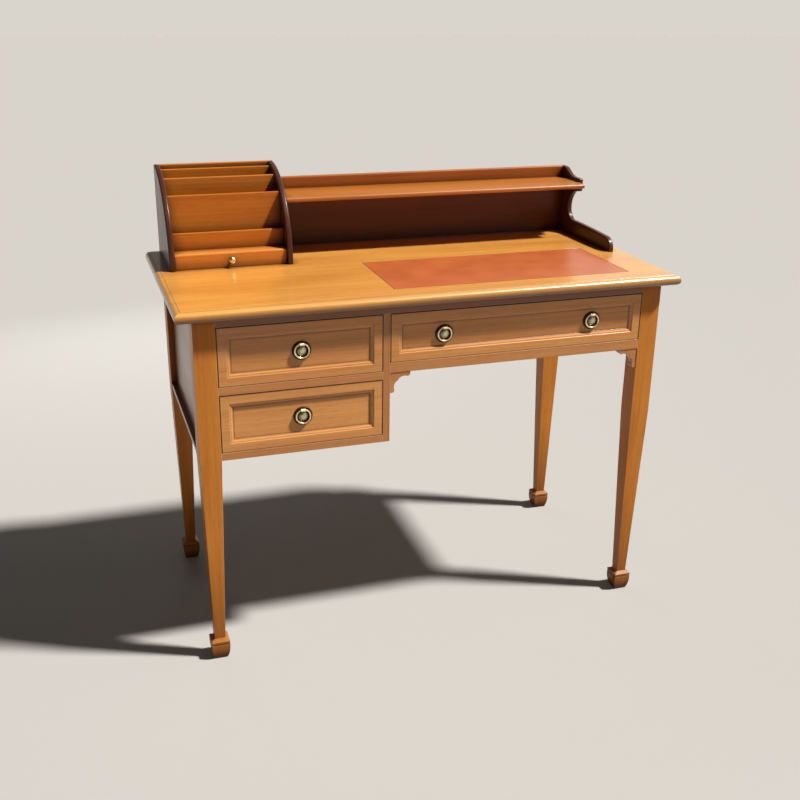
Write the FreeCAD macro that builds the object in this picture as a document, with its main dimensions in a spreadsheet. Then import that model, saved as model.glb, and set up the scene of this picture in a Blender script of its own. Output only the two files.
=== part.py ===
import FreeCAD, Part
import math
import os
import Sketcher

# A small writing desk: one pedestal of two drawers, a wide drawer over the kneehole, and on its top a letter
# rack with a small drawer and a low gallery with a shelf. X runs left to right, Y front to back, Z up, and the
# origin lies on the floor under the middle of the top. All sizes are in millimetres.

SIZES = (
    ("top_width", 1050, "desk top, left to right"),
    ("top_depth", 510, "desk top, front to back"),
    ("desk_height", 760, "floor to writing surface"),
    ("top_thickness", 21, "desk top at its edge"),
    ("top_quirk", 0.6, "step from the top's field down to its rounded edge"),
    ("top_ovolo", 10, "radius of the rounded upper edge"),
    ("top_under_round", 9.5, "radius of the rounded lower edge"),
    ("top_edge_width", 13, "width of the moulding round the top's field"),
    ("side_overhang", 33, "top beyond the legs at either side"),
    ("front_overhang", 22, "top beyond the drawer fronts"),
    ("back_overhang", 5, "top beyond the back legs"),
    ("leather_width", 524, "leather inset, left to right"),
    ("leather_depth", 226, "leather inset, front to back"),
    ("leather_thickness", 1.2, "leather, flush with the wood round it"),
    ("leather_front_margin", 62, "leather to the front edge of the top"),
    ("leather_right_margin", 89, "leather to the right edge of the top"),
    ("leg_square", 43, "side of the leg's square head"),
    ("taper_start", 453, "floor to the end of the square head"),
    ("ankle_square", 22, "side of the leg just above its foot"),
    ("foot_height", 46, "spade foot with its collar"),
    ("foot_width", 38, "spade foot at its widest"),
    ("foot_sole", 27, "spade foot where it meets the floor"),
    ("foot_swell", 28, "floor to the foot's widest place"),
    ("foot_block", 34, "floor to the groove under the collar"),
    ("foot_groove_width", 2, "groove between block and collar"),
    ("foot_groove_depth", 1.8, "depth of that groove"),
    ("foot_collar", 5, "upright face of the collar"),
    ("apron_thickness", 18, "side and back panels"),
    ("back_setback", 2, "back panels behind the legs' outer faces"),
    ("side_setback", 12.5, "side panels behind the legs' outer faces"),
    ("side_strip_height", 10, "strip along the foot of a side panel"),
    ("side_strip_setback", 1, "that strip behind the legs' outer faces"),
    ("top_rail_height", 16, "rail under the top, over the drawers"),
    ("small_opening_width", 327, "opening of the pedestal drawers"),
    ("small_opening_height", 119, "opening of each pedestal drawer"),
    ("divider_rail_height", 16.5, "rail between the pedestal drawers"),
    ("bottom_rail_height", 15.5, "rail under the lower drawer"),
    ("partition_thickness", 14.5, "partition between pedestal and kneehole"),
    ("wide_opening_height", 102, "opening of the kneehole drawer"),
    ("kneehole_rail_height", 21, "rail under the kneehole drawer"),
    ("tenon_length", 16, "tenons in the legs"),
    ("stub_tenon_length", 6, "tenons in the partition"),
    ("tenon_shoulder", 5, "shoulder on each face of a tenon"),
    ("tenon_edge", 20, "shoulder at a panel tenon's ends"),
    ("bracket_reach", 43, "kneehole bracket along rail and upright"),
    ("bracket_tip", 4, "end face of a bracket"),
    ("bracket_lobe", 6, "rounded step beside each end face"),
    ("bracket_cusp", 17, "corner to the point between its two hollows"),
    ("bracket_hollow", 0.75, "radius of a hollow as a share of its width"),
    ("bracket_thickness", 18, "bracket, front to back"),
    ("bracket_setback", 1, "bracket behind the front"),
    ("runner_ledge", 16, "runner under a drawer side"),
    ("guide_height", 30, "guide strip beside a drawer"),
    ("stop_length", 30, "drawer stop, left to right"),
    ("stop_depth", 14, "drawer stop, front to back"),
    ("stop_height", 6, "drawer stop over its rail"),
    ("stop_gap", 0.2, "drawer stop behind the drawer front"),
    ("stop_margin", 60, "drawer stop to the end of its opening"),
    ("drawer_back_gap", 26, "space behind a drawer"),
    ("drawer_side_gap", 1.2, "gap at each end of a drawer front"),
    ("drawer_top_gap", 1.5, "gap over a drawer front"),
    ("drawer_floor_gap", 0.4, "drawer over its runners"),
    ("drawer_side_drop", 6, "drawer sides lower than the front"),
    ("front_thickness", 20, "drawer front"),
    ("front_lap", 6, "drawer front left before the dovetails"),
    ("front_frame", 18.3, "border of a drawer front"),
    ("frame_round", 1.3, "rounded inner arris of that border"),
    ("field_depth", 5, "sunk field of a drawer front"),
    ("field_quirk", 1.6, "step from the border to the flat of the field's moulding"),
    ("field_moulding", 7, "width of that flat and the slope inside it"),
    ("field_slope", 4.7, "width of the slope"),
    ("field_slope_drop", 2.9, "depth of the slope"),
    ("field_shoulder", 4, "radius of the slope's rounded upper edge"),
    ("drawer_side_thickness", 10, "drawer sides"),
    ("drawer_back_thickness", 10, "drawer back"),
    ("drawer_bottom_thickness", 5, "drawer bottom"),
    ("drawer_bottom_rise", 8, "drawer bottom over the sides' lower edge"),
    ("drawer_groove", 4, "grooves that hold the drawer bottom"),
    ("dovetail_count", 3, "tails at each end of a drawer side"),
    ("dovetail_pin_root", 10, "space between tails at their root"),
    ("dovetail_pin_tip", 5, "space between tails at their tip"),
    ("pull_spacing", 328, "between the kneehole drawer's two pulls"),
    ("plate_radius", 19, "pull back-plate"),
    ("plate_rim", 1.4, "edge of the back-plate"),
    ("plate_thickness", 2.6, "back-plate inside its rounded edge"),
    ("plate_round", 3, "width of its rounded edge"),
    ("boss_radius", 11, "domed boss of the back-plate"),
    ("boss_height", 7.5, "dome over the drawer's field"),
    ("stud_radius", 2.5, "stud through the drawer front"),
    ("stud_spare", 2, "stud beyond its nut"),
    ("nut_radius", 6, "nut, to its corners"),
    ("nut_thickness", 4, "nut"),
    ("ring_radius", 14.1, "pull ring to the middle of its wire"),
    ("ring_wire", 1.7, "radius of the ring's wire"),
    ("ring_standoff", 5, "ring in front of the drawer's field"),
    ("knuckle_width", 9, "knuckle that carries the ring"),
    ("knuckle_radius", 3.2, "rounded end of the knuckle"),
    ("knuckle_side_gap", 1.5, "knuckle to the ring's ends"),
    ("ring_pin_radius", 1.2, "pin through the knuckle"),
    ("ring_pin_grip", 1, "pin inside each end of the ring"),
    ("ring_pin_clearance", 0.08, "running clearance of that pin"),
    ("stage_inset", 31, "rack and gallery within the ends of the top"),
    ("stage_back_inset", 6, "rack and gallery within the back of the top"),
    ("rack_width", 261, "letter rack, left to right"),
    ("rack_radius", 192, "quarter-round sides of the letter rack"),
    ("rack_side_thickness", 12, "rack sides"),
    ("rack_side_round", 3.5, "rounded arrises of the rack sides"),
    ("rack_back_thickness", 8, "rack back"),
    ("rack_housing", 5, "grooves in the rack sides"),
    ("rack_floor_rise", 26, "space of the rack's drawer"),
    ("rack_floor_thickness", 7, "board over that drawer"),
    ("divider_thickness", 6, "letter dividers"),
    ("divider_round", 2.4, "rounded upper edge of a divider"),
    ("divider_set_down", 5, "tall dividers below the sides' curve"),
    ("divider_place_back", 29, "back of the rack to the first divider's face"),
    ("divider_place_middle", 73, "back of the rack to the second one's face"),
    ("divider_place_front", 121, "back of the rack to the third one's face"),
    ("divider_place_low", 148, "back of the rack to the low one's face"),
    ("divider_low_height", 70, "low divider over the writing surface"),
    ("rack_drawer_setback", 9, "its front behind the sides' front"),
    ("rack_drawer_back_gap", 1, "rack drawer before the rack's back, which stops it"),
    ("rack_drawer_gap", 0.8, "gap at each end and behind the front of the rack drawer, and over its sides"),
    ("rack_front_thickness", 10, "rack drawer front"),
    ("rack_front_round", 4, "rounded upper edge of that front"),
    ("rack_drawer_wall", 5, "rack drawer sides and back"),
    ("rack_drawer_wall_drop", 3, "its sides lower than that gap"),
    ("rack_drawer_bottom_thickness", 3, "rack drawer bottom"),
    ("rack_drawer_bottom_rise", 3, "bottom over the sides' lower edge"),
    ("rack_drawer_groove", 2.5, "grooves and rebates of the rack drawer"),
    ("knob_radius", 6.8, "knob of the rack drawer"),
    ("knob_crown", 1.2, "radius of the knob's domed face as a share of its own"),
    ("knob_dimple", 2, "radius of the dimple in the knob's face"),
    ("knob_dimple_depth", 0.8, "depth of that dimple"),
    ("knob_neck", 3.4, "neck of the knob"),
    ("knob_reach", 13, "knob in front of the drawer"),
    ("knob_tenon_length", 6, "knob's tenon in the drawer front"),
    ("gallery_height", 156, "gallery back over the writing surface"),
    ("gallery_board", 12, "gallery back and right side"),
    ("gallery_round", 3, "rounded arrises of the gallery"),
    ("shelf_height", 130, "shelf's upper face over the writing surface"),
    ("shelf_thickness", 10, "gallery shelf"),
    ("shelf_round", 4, "rounded front edge of the shelf"),
    ("shelf_depth", 120, "shelf in front of the gallery back"),
    ("shelf_housing", 4, "shelf's tongues in rack and gallery"),
    ("shelf_stop", 8, "tongue behind the edge that hides it"),
    ("ear_flat", 15, "level part of the scrolled side at the back"),
    ("ear_run", 60, "length of the curve from there down to the nose's level"),
    ("ear_round", 40, "rounded start of that curve"),
    ("nose_place", 101, "back of the gallery to the scroll's nose"),
    ("nose_lip", 8, "nose over the shelf"),
    ("nose_drop", 12, "nose under the shelf"),
    ("nose_round", 4, "rounded corners of the nose"),
    ("scoop_radius", 44, "hollow under the nose"),
    ("sweep_radius", 28, "curve from the hollow into the arm"),
    ("arm_length", 269, "back of the gallery to the arm's front"),
    ("arm_fall", 5, "fall of the arm's upper edge towards its rounded front"),
    ("arm_toe_height", 5, "upright face below that rounding"),
)

doc = FreeCAD.newDocument("writing_desk")
sheet = doc.addObject("Spreadsheet::Sheet", "sizes")
for row, (alias, size, note) in enumerate(SIZES, start=1):
    sheet.set(f"A{row}", note)
    sheet.set(f"B{row}", str(size))
    sheet.setAlias(f"B{row}", alias)
doc.recompute()

TOLERANCE = 0.001
pieces = {}

# Places that several pieces share, as expressions of the sizes
FRONT = "(sizes.front_overhang - sizes.top_depth / 2)"
BACK = "(sizes.top_depth / 2 - sizes.back_overhang)"
LEG_OUTER = "(sizes.top_width / 2 - sizes.side_overhang)"
LEG_INNER = f"({LEG_OUTER} - sizes.leg_square)"
LEG_REAR = f"({FRONT} + sizes.leg_square)"
BACK_LEG_FRONT = f"({BACK} - sizes.leg_square)"
APRON_OUTER = f"({LEG_OUTER} - sizes.side_setback)"
APRON_INNER = f"({APRON_OUTER} - sizes.apron_thickness)"
STRIP_OUTER = f"({LEG_OUTER} - sizes.side_strip_setback)"
BACK_OUTER = f"({BACK} - sizes.back_setback)"
BACK_INNER = f"({BACK_OUTER} - sizes.apron_thickness)"
DRAWER_INSIDE = f"({FRONT} + sizes.front_thickness)"
DRAWER_END = f"({BACK_INNER} - sizes.drawer_back_gap)"
UNDER_TOP = "(sizes.desk_height - sizes.top_thickness)"
OPENING_TOP = f"({UNDER_TOP} - sizes.top_rail_height)"
UPPER_FLOOR = f"({OPENING_TOP} - sizes.small_opening_height)"
LOWER_TOP = f"({UPPER_FLOOR} - sizes.divider_rail_height)"
LOWER_FLOOR = f"({LOWER_TOP} - sizes.small_opening_height)"
PEDESTAL_BOTTOM = f"({LOWER_FLOOR} - sizes.bottom_rail_height)"
WIDE_FLOOR = f"({OPENING_TOP} - sizes.wide_opening_height)"
KNEEHOLE_TOP = f"({WIDE_FLOOR} - sizes.kneehole_rail_height)"
PARTITION_LEFT = f"(sizes.small_opening_width - {LEG_INNER})"
PARTITION_RIGHT = f"({PARTITION_LEFT} + sizes.partition_thickness)"
PEDESTAL_X = (f"(-{LEG_INNER})", PARTITION_LEFT)
KNEEHOLE_X = (PARTITION_RIGHT, LEG_INNER)
STAGE_LEFT = "(sizes.stage_inset - sizes.top_width / 2)"
STAGE_RIGHT = "(sizes.top_width / 2 - sizes.stage_inset)"
STAGE_BACK = "(sizes.top_depth / 2 - sizes.stage_back_inset)"
SURFACE = "sizes.desk_height"


def value(text):
    """Number that an expression gives with the present sizes."""
    return float(sheet.evalExpression(text))


def minus(text):
    return f"(-({text}))"


def middle(low, high):
    return f"(({low} + {high}) / 2)"


def rounding(run, rise):
    """Radius of an arc that starts level and drops by rise over run."""
    return f"((({run}) ^ 2 + ({rise}) ^ 2) / (2 * ({rise})))"


def bind(thing, **expressions):
    for name, text in expressions.items():
        thing.setExpression(name, text)


def place(thing, x="0", y="0", z="0"):
    for axis, text in (("x", x), ("y", y), ("z", z)):
        thing.setExpression(f"Placement.Base.{axis}", text)


def keep(label, thing):
    """Name a finished piece of the desk."""
    thing.Label = label
    pieces[label] = thing
    return thing


def board(name, x, y, z):
    """Straight board between its lowest and highest place along each axis."""
    thing = doc.addObject("Part::Box", name)
    for length, (low, high) in zip(("Length", "Width", "Height"), (x, y, z)):
        thing.setExpression(length, f"{high} - {low}")
    place(thing, x[0], y[0], z[0])
    return thing


def joined(name, *parts):
    thing = doc.addObject("Part::MultiFuse", name)
    thing.Shapes = list(parts)
    thing.Refine = True
    return thing


def cut(name, base, *tools):
    """Base with the room for every tool taken out of it."""
    for tool in tools:
        thing = doc.addObject("Part::Cut", name)
        thing.Base = base
        thing.Tool = tool
        base = thing
    return base


def group(name, parts):
    thing = doc.addObject("Part::Compound", name)
    thing.Links = parts
    return thing


def origin_feature(body, role):
    return next(feature for feature in body.Origin.OriginFeatures if feature.Role == role)


def new_sketch(body, plane, offset="0"):
    sketch = body.newObject("Sketcher::SketchObject", "outline")
    sketch.AttachmentSupport = [(origin_feature(body, plane), "")]
    sketch.MapMode = "FlatFace"
    sketch.setExpression("AttachmentOffset.Base.z", offset)
    return sketch


def dimension(sketch, text, *definition):
    """Constraint of a sketch, held to an expression."""
    kind, *where = definition
    index = sketch.addConstraint(Sketcher.Constraint(kind, *where, value(text)))
    sketch.setExpression(f"Constraints[{index}]", text)


def arc(start, end, radius, turn):
    """Arc of less than a half circle, turning left for 1 and right for -1."""
    chord = end - start
    rise = math.sqrt(max(radius ** 2 - chord.Length ** 2 / 4, 0))
    sideways = FreeCAD.Vector(-chord.y, chord.x) * (turn * rise / chord.Length)
    center = (start + end) * 0.5 + sideways
    first, last = (start, end) if turn > 0 else (end, start)
    angles = [math.atan2(point.y - center.y, point.x - center.x) for point in (first, last)]
    return Part.ArcOfCircle(Part.Circle(center, FreeCAD.Vector(0, 0, 1), radius), *angles)


def draw(body, plane, outline, offset="0"):
    """Closed outline of corners (u, v), or (u, v, radius, turn) where the side after a corner is an arc."""
    sketch = new_sketch(body, plane, offset)
    points = [FreeCAD.Vector(value(corner[0]), value(corner[1])) for corner in outline]
    ends = []
    for corner, start, end in zip(outline, points, points[1:] + points[:1]):
        if len(corner) == 2:
            sketch.addGeometry(Part.LineSegment(start, end))
            ends.append((1, 2))
        else:
            radius, turn = corner[2:]
            sketch.addGeometry(arc(start, end, value(radius), turn))
            ends.append((1, 2) if turn > 0 else (2, 1))
    for side, corner in enumerate(outline):
        after = (side + 1) % len(outline)
        sketch.addConstraint(Sketcher.Constraint("Coincident", side, ends[side][1], after, ends[after][0]))
        dimension(sketch, corner[0], "DistanceX", -1, 1, side, ends[side][0])
        dimension(sketch, corner[1], "DistanceY", -1, 1, side, ends[side][0])
        if len(corner) > 2:
            dimension(sketch, corner[2], "Radius", side)
    return sketch


def draw_circle(body, plane, u, v, radius):
    sketch = new_sketch(body, plane)
    center = FreeCAD.Vector(value(u), value(v))
    sketch.addGeometry(Part.Circle(center, FreeCAD.Vector(0, 0, 1), value(radius)))
    dimension(sketch, u, "DistanceX", -1, 1, 0, 3)
    dimension(sketch, v, "DistanceY", -1, 1, 0, 3)
    dimension(sketch, radius, "Radius", 0)
    return sketch


def rectangle(u, v, radius=None, rounded=()):
    """Rectangle outline; rounded names the corners that the radius softens, counted from low u and low v."""
    corners = ((u[0], v[0], 1, 1), (u[1], v[0], -1, 1), (u[1], v[1], -1, -1), (u[0], v[1], 1, -1))
    outline = []
    for number, (u_place, v_place, u_in, v_in) in enumerate(corners):
        if number not in rounded:
            outline.append((u_place, v_place))
            continue
        along_u = (f"({u_place} + {u_in} * {radius})", v_place)
        along_v = (u_place, f"({v_place} + {v_in} * {radius})")
        first, last = (along_v, along_u) if number in (0, 2) else (along_u, along_v)
        outline.append(first + (radius, 1))
        outline.append(last)
    return outline


def pad(body, sketch, length, symmetric=False):
    feature = body.newObject("PartDesign::Pad", "pad")
    feature.Profile = sketch
    feature.SideType = "Symmetric" if symmetric else "One side"
    feature.setExpression("Length", length)
    return feature


def pocket(body, sketch, depth):
    feature = body.newObject("PartDesign::Pocket", "pocket")
    feature.Profile = sketch
    feature.setExpression("Length", depth)
    return feature


def bore(body, sketch):
    feature = body.newObject("PartDesign::Pocket", "bore")
    feature.Profile = sketch
    feature.SideType = "Symmetric"
    feature.Type = "ThroughAll"
    return feature


def picked(body, chosen):
    """Edges of a body that the given test picks."""
    doc.recompute()
    edges = enumerate(body.Tip.Shape.Edges, start=1)
    return body.Tip, [f"Edge{number}" for number, edge in edges if chosen(edge)]


def fillet(body, radius, chosen):
    edges = picked(body, chosen)
    feature = body.newObject("PartDesign::Fillet", "fillet")
    feature.Base = edges
    feature.setExpression("Radius", radius)
    return feature


def slope(body, drop, width, chosen):
    edges = picked(body, chosen)
    feature = body.newObject("PartDesign::Chamfer", "slope")
    feature.Base = edges
    feature.ChamferType = "Two distances"
    bind(feature, Size=width, Size2=drop)
    return feature


def near(first, second):
    return abs(first - second) < TOLERANCE


def new_body(name, x="0", y="0", z="0"):
    body = doc.addObject("PartDesign::Body", name)
    place(body, x, y, z)
    return body


def profiled(name, outline, x):
    """Piece of one section in Y and Z, between two places along X."""
    body = new_body(name, x=x[0])
    pad(body, draw(body, "YZ_Plane", outline), f"{x[1]} - {x[0]}")
    return body


def desk_top():
    half_width = "sizes.top_width / 2"
    half_depth = "sizes.top_depth / 2"
    moulding = "sizes.top_edge_width"
    slab = "(sizes.top_thickness - sizes.top_quirk)"
    body = new_body("top_slab", z=UNDER_TOP)
    whole = rectangle((minus(half_width), half_width), (minus(half_depth), half_depth))
    pad(body, draw(body, "XY_Plane", whole), slab)
    # Front and sides are moulded, and the back edge, which stands to a wall, is left square
    level = value(slab)
    back = value(half_depth)
    fillet(body, "sizes.top_ovolo",
           lambda edge: near(edge.BoundBox.ZMin, level) and not near(edge.BoundBox.YMin, back))
    fillet(body, "sizes.top_under_round",
           lambda edge: near(edge.BoundBox.ZMax, 0) and not near(edge.BoundBox.YMin, back))
    field = rectangle((f"({moulding} - {half_width})", f"({half_width} - {moulding})"),
                      (f"({moulding} - {half_depth})", half_depth))
    pad(body, draw(body, "XY_Plane", field, slab), "sizes.top_quirk")

    right = f"({half_width} - sizes.leather_right_margin)"
    front = f"(sizes.leather_front_margin - {half_depth})"
    leather = board("leather", (f"({right} - sizes.leather_width)", right),
                    (front, f"({front} + sizes.leather_depth)"),
                    (f"({SURFACE} - sizes.leather_thickness)", SURFACE))
    keep("leather_inset", leather)
    keep("desk_top", cut("top_with_recess", body, leather))


def leg_section():
    """Right half of a leg's outline, from the floor up."""
    sole = "sizes.foot_sole / 2"
    wide = "sizes.foot_width / 2"
    swell = rounding("sizes.foot_swell", f"({wide} - {sole})")
    groove = f"({wide} - sizes.foot_groove_depth)"
    collar_low = "(sizes.foot_block + sizes.foot_groove_width)"
    collar_high = f"({collar_low} + sizes.foot_collar)"
    return [
        (sole, "0", swell, 1),
        (wide, "sizes.foot_swell"),
        (wide, "sizes.foot_block"),
        (groove, "sizes.foot_block"),
        (groove, collar_low),
        (wide, collar_low),
        (wide, collar_high),
        ("sizes.ankle_square / 2", "sizes.foot_height"),
        ("sizes.leg_square / 2", "sizes.taper_start"),
        ("sizes.leg_square / 2", UNDER_TOP),
    ]


def leg(label, x, y, tenons):
    """Square leg, shaped alike on all four faces, with a mortise for each tenon."""
    right = leg_section()
    left = [(minus(corner[0]), corner[1]) for corner in reversed(right)]
    swell = right[0][2:]
    left[-2] = left[-2] + swell
    shapes = []
    for plane in ("XZ_Plane", "YZ_Plane"):
        body = new_body("leg_outline", x=x, y=y)
        pad(body, draw(body, plane, right + left), "sizes.leg_square", symmetric=True)
        shapes.append(body)
    blank = doc.addObject("Part::Common", "leg_blank")
    blank.Base, blank.Tool = shapes
    keep(label, cut("leg", blank, *tenons))


def side_panel(label, x, strip_x, floor):
    """Sunk panel between a front and a back leg, with a tenon at each end and a strip along its foot."""
    shoulder = "sizes.tenon_shoulder"
    tongue_x = (f"({x[0]} + {shoulder})", f"({x[1]} - {shoulder})")
    tongue_z = (f"({floor} + sizes.tenon_edge)", f"({UNDER_TOP} - sizes.tenon_edge)")
    front = board("tenon", tongue_x, (f"({LEG_REAR} - sizes.tenon_length)", LEG_REAR), tongue_z)
    back = board("tenon", tongue_x, (BACK_LEG_FRONT, f"({BACK_LEG_FRONT} + sizes.tenon_length)"), tongue_z)
    panel = board("panel", x, (LEG_REAR, BACK_LEG_FRONT), (floor, UNDER_TOP))
    strip = board("strip", strip_x, (LEG_REAR, BACK_LEG_FRONT), (floor, f"({floor} + sizes.side_strip_height)"))
    keep(label, group("side_and_strip", [joined("side", panel, front, back), strip]))
    return front, back


def cross_piece(label, x, y, z, left, right, edge):
    """Rail or panel that runs left to right, with tenons of the given lengths; edge is their end shoulder."""
    shoulder = "sizes.tenon_shoulder"
    thin_z = f"({z[1]} - {z[0]})"
    flat = value(thin_z) < value(f"{y[1]} - {y[0]}")
    y_in, z_in = (edge, shoulder) if flat else (shoulder, edge)
    tongue_y = (f"({y[0]} + {y_in})", f"({y[1]} - {y_in})")
    tongue_z = (f"({z[0]} + {z_in})", f"({z[1]} - {z_in})")
    tenons = (
        board("tenon", (f"({x[0]} - {left})", x[0]), tongue_y, tongue_z),
        board("tenon", (x[1], f"({x[1]} + {right})"), tongue_y, tongue_z),
    )
    keep(label, joined("rail", board("rail_length", x, y, z), *tenons))
    return tenons


def bracket(label, corner, side):
    """Kneehole bracket below the rail; side is 1 where it reaches to the right of its corner."""
    reach = "sizes.bracket_reach"
    tip = "sizes.bracket_tip"
    lobe = "sizes.bracket_lobe"
    cusp = "sizes.bracket_cusp"
    step = f"({tip} + {lobe})"
    neck = f"({reach} - {lobe})"
    hollow = f"(sizes.bracket_hollow * sqrt(({neck} - {cusp}) ^ 2 + ({cusp} - {step}) ^ 2))"
    points = [
        ("0", "0"), ("0", reach), (tip, reach, lobe, 1), (step, neck, hollow, -1),
        (cusp, cusp, hollow, -1), (neck, step, lobe, 1), (reach, tip), (reach, "0"),
    ]
    outline = []
    for u, v, *bend in points:
        turn = [bend[0], bend[1] * side] if bend else []
        outline.append((f"({corner} + {side} * {u})", f"({KNEEHOLE_TOP} - {v})", *turn))
    body = new_body(label, y=f"({FRONT} + sizes.bracket_setback + sizes.bracket_thickness)")
    pad(body, draw(body, "XZ_Plane", outline), "sizes.bracket_thickness")
    keep(label, body)


def carcase():
    rail_y = (FRONT, LEG_REAR)
    back_y = (BACK_INNER, BACK_OUTER)
    long_tenon = "sizes.tenon_length"
    stub = "sizes.stub_tenon_length"
    flat_edge = "sizes.tenon_shoulder"
    tall_edge = "sizes.tenon_edge"
    left_inner = minus(LEG_INNER)
    left_front, left_back = side_panel("left_side_panel", (minus(APRON_OUTER), minus(APRON_INNER)),
                                       (minus(STRIP_OUTER), minus(APRON_OUTER)), PEDESTAL_BOTTOM)
    right_front, right_back = side_panel("right_side_apron", (APRON_INNER, APRON_OUTER),
                                         (APRON_OUTER, STRIP_OUTER), KNEEHOLE_TOP)
    top_left, top_right = cross_piece("top_front_rail", (left_inner, LEG_INNER), rail_y,
                                      (OPENING_TOP, UNDER_TOP), long_tenon, long_tenon, flat_edge)
    divider_left, divider_right = cross_piece("drawer_divider_rail", PEDESTAL_X, rail_y,
                                              (LOWER_TOP, UPPER_FLOOR), long_tenon, stub, flat_edge)
    bottom_left, bottom_right = cross_piece("pedestal_bottom_rail", PEDESTAL_X, rail_y,
                                            (PEDESTAL_BOTTOM, LOWER_FLOOR), long_tenon, stub, flat_edge)
    knee_left, knee_right = cross_piece("kneehole_rail", KNEEHOLE_X, rail_y,
                                        (KNEEHOLE_TOP, WIDE_FLOOR), stub, long_tenon, flat_edge)
    panel_left, panel_right = cross_piece("pedestal_back_panel", PEDESTAL_X, back_y,
                                          (PEDESTAL_BOTTOM, UNDER_TOP), long_tenon, stub, tall_edge)
    apron_left, apron_right = cross_piece("kneehole_back_apron", KNEEHOLE_X, back_y,
                                          (KNEEHOLE_TOP, UNDER_TOP), stub, long_tenon, tall_edge)

    partition = board("partition_blank", (PARTITION_LEFT, PARTITION_RIGHT), (FRONT, BACK_OUTER),
                      (PEDESTAL_BOTTOM, UNDER_TOP))
    keep("pedestal_partition", cut("partition", partition, pieces["top_front_rail"], divider_right,
                                   bottom_right, knee_left, panel_right, apron_left))

    right_x = f"({LEG_OUTER} - sizes.leg_square / 2)"
    front_y = f"({FRONT} + sizes.leg_square / 2)"
    back_leg_y = f"({BACK} - sizes.leg_square / 2)"
    leg("front_left_leg", minus(right_x), front_y, (left_front, top_left, divider_left, bottom_left))
    leg("front_right_leg", right_x, front_y, (right_front, top_right, knee_right))
    leg("back_left_leg", minus(right_x), back_leg_y, (left_back, panel_left))
    leg("back_right_leg", right_x, back_leg_y, (right_back, apron_right))
    bracket("left_kneehole_bracket", PARTITION_RIGHT, 1)
    bracket("right_kneehole_bracket", LEG_INNER, -1)


def drawer_ways():
    """Runners under the drawers, guides beside them, stops behind their fronts and kicker rails over them."""
    ledge = "sizes.runner_ledge"
    between_legs = (LEG_REAR, BACK_LEG_FRONT)
    to_back_panel = (LEG_REAR, BACK_INNER)
    left_x = (minus(APRON_INNER), f"({ledge} - {LEG_INNER})")
    right_x = (f"({LEG_INNER} - {ledge})", APRON_INNER)
    pedestal_x = (f"({PARTITION_LEFT} - {ledge})", PARTITION_LEFT)
    kneehole_x = (PARTITION_RIGHT, f"({PARTITION_RIGHT} + {ledge})")
    runners = []
    for z in ((LOWER_TOP, UPPER_FLOOR), (PEDESTAL_BOTTOM, LOWER_FLOOR)):
        runners.append(board("runner", left_x, between_legs, z))
        runners.append(board("runner", pedestal_x, to_back_panel, z))
    runners.append(board("runner", kneehole_x, to_back_panel, (KNEEHOLE_TOP, WIDE_FLOOR)))
    runners.append(board("runner", right_x, between_legs, (KNEEHOLE_TOP, WIDE_FLOOR)))
    keep("drawer_runners", group("runners", runners))

    left_guide_x = (minus(APRON_INNER), minus(LEG_INNER))
    guides = []
    for x, floor in ((left_guide_x, UPPER_FLOOR), (left_guide_x, LOWER_FLOOR),
                     ((LEG_INNER, APRON_INNER), WIDE_FLOOR)):
        guides.append(board("guide", x, between_legs, (floor, f"({floor} + sizes.guide_height)")))
    stop_front = f"({DRAWER_INSIDE} + sizes.stop_gap)"
    stop_y = (stop_front, f"({stop_front} + sizes.stop_depth)")
    for opening, floor in ((PEDESTAL_X, UPPER_FLOOR), (PEDESTAL_X, LOWER_FLOOR), (KNEEHOLE_X, WIDE_FLOOR)):
        left_stop = f"({opening[0]} + sizes.stop_margin)"
        right_stop = f"({opening[1]} - sizes.stop_margin - sizes.stop_length)"
        for x in (left_stop, right_stop):
            guides.append(board("stop", (x, f"({x} + sizes.stop_length)"), stop_y,
                                (floor, f"({floor} + sizes.stop_height)")))
    keep("guides_and_stops", group("guides", guides))

    kicker_z = (OPENING_TOP, UNDER_TOP)
    kickers = [
        board("kicker", left_x, between_legs, kicker_z),
        board("kicker", pedestal_x, to_back_panel, kicker_z),
        board("kicker", kneehole_x, to_back_panel, kicker_z),
        board("kicker", right_x, between_legs, kicker_z),
    ]
    keep("kicker_rails", group("kickers", kickers))


def panelled_front(name, x, z):
    """Drawer front with a sunk field inside a moulding: a step, a flat and a slope with a rounded shoulder."""
    thickness = "sizes.front_thickness"
    frame = "sizes.front_frame"
    field = f"({frame} + sizes.field_moulding)"
    shoulder = f"({field} - sizes.field_slope)"

    def rim(depth, inset):
        level = value(f"{depth} - {thickness}")
        low = value(f"{x[0]} + {inset}") - TOLERANCE
        high = value(f"{x[1]} - {inset}") + TOLERANCE

        def chosen(edge):
            box = edge.BoundBox
            return near(box.YMin, level) and near(box.YMax, level) and box.XMin > low and box.XMax < high

        return chosen

    body = new_body(f"{name}_front_blank", y=f"({FRONT} + {thickness})")
    pad(body, draw(body, "XZ_Plane", rectangle(x, z)), thickness)
    for inset, depth in ((frame, "sizes.field_quirk"), (field, "sizes.field_depth")):
        hollow_x = (f"({x[0]} + {inset})", f"({x[1]} - {inset})")
        hollow_z = (f"({z[0]} + {inset})", f"({z[1]} - {inset})")
        pocket(body, draw(body, "XZ_Plane", rectangle(hollow_x, hollow_z), thickness), depth)
    fillet(body, "sizes.frame_round", rim("0", frame))
    slope(body, "sizes.field_slope_drop", "sizes.field_slope", rim("sizes.field_quirk", field))
    fillet(body, "sizes.field_shoulder", rim("sizes.field_quirk", shoulder))
    return body


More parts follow.
